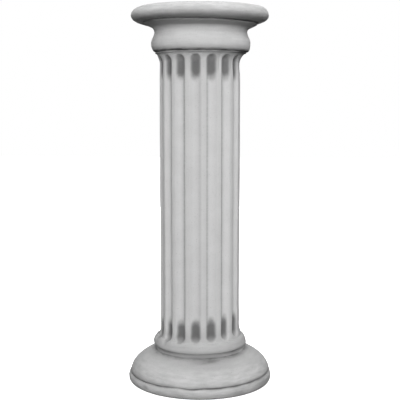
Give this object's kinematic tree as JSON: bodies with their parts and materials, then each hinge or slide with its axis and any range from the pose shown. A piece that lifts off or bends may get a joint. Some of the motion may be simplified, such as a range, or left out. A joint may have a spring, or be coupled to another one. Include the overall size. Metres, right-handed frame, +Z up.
{
  "type": "cast stone column",
  "caption": "Cast stone pedestal column with a round top plate, a moulded capital, a fluted shaft and a domed round base.",
  "frame": {"origin": "centre of the round underside, on the surface that the column stands on", "axes": "+Z up along the column's axis; -Y is the front, where a flute is centred; +X is to the right as seen from the front"},
  "size_m": [0.3088, 0.3088, 0.8],
  "materials": {
    "cast_stone": "matte"
  },
  "bodies": {
    "root": {"column": "cast_stone"}
  },
  "joints": []
}
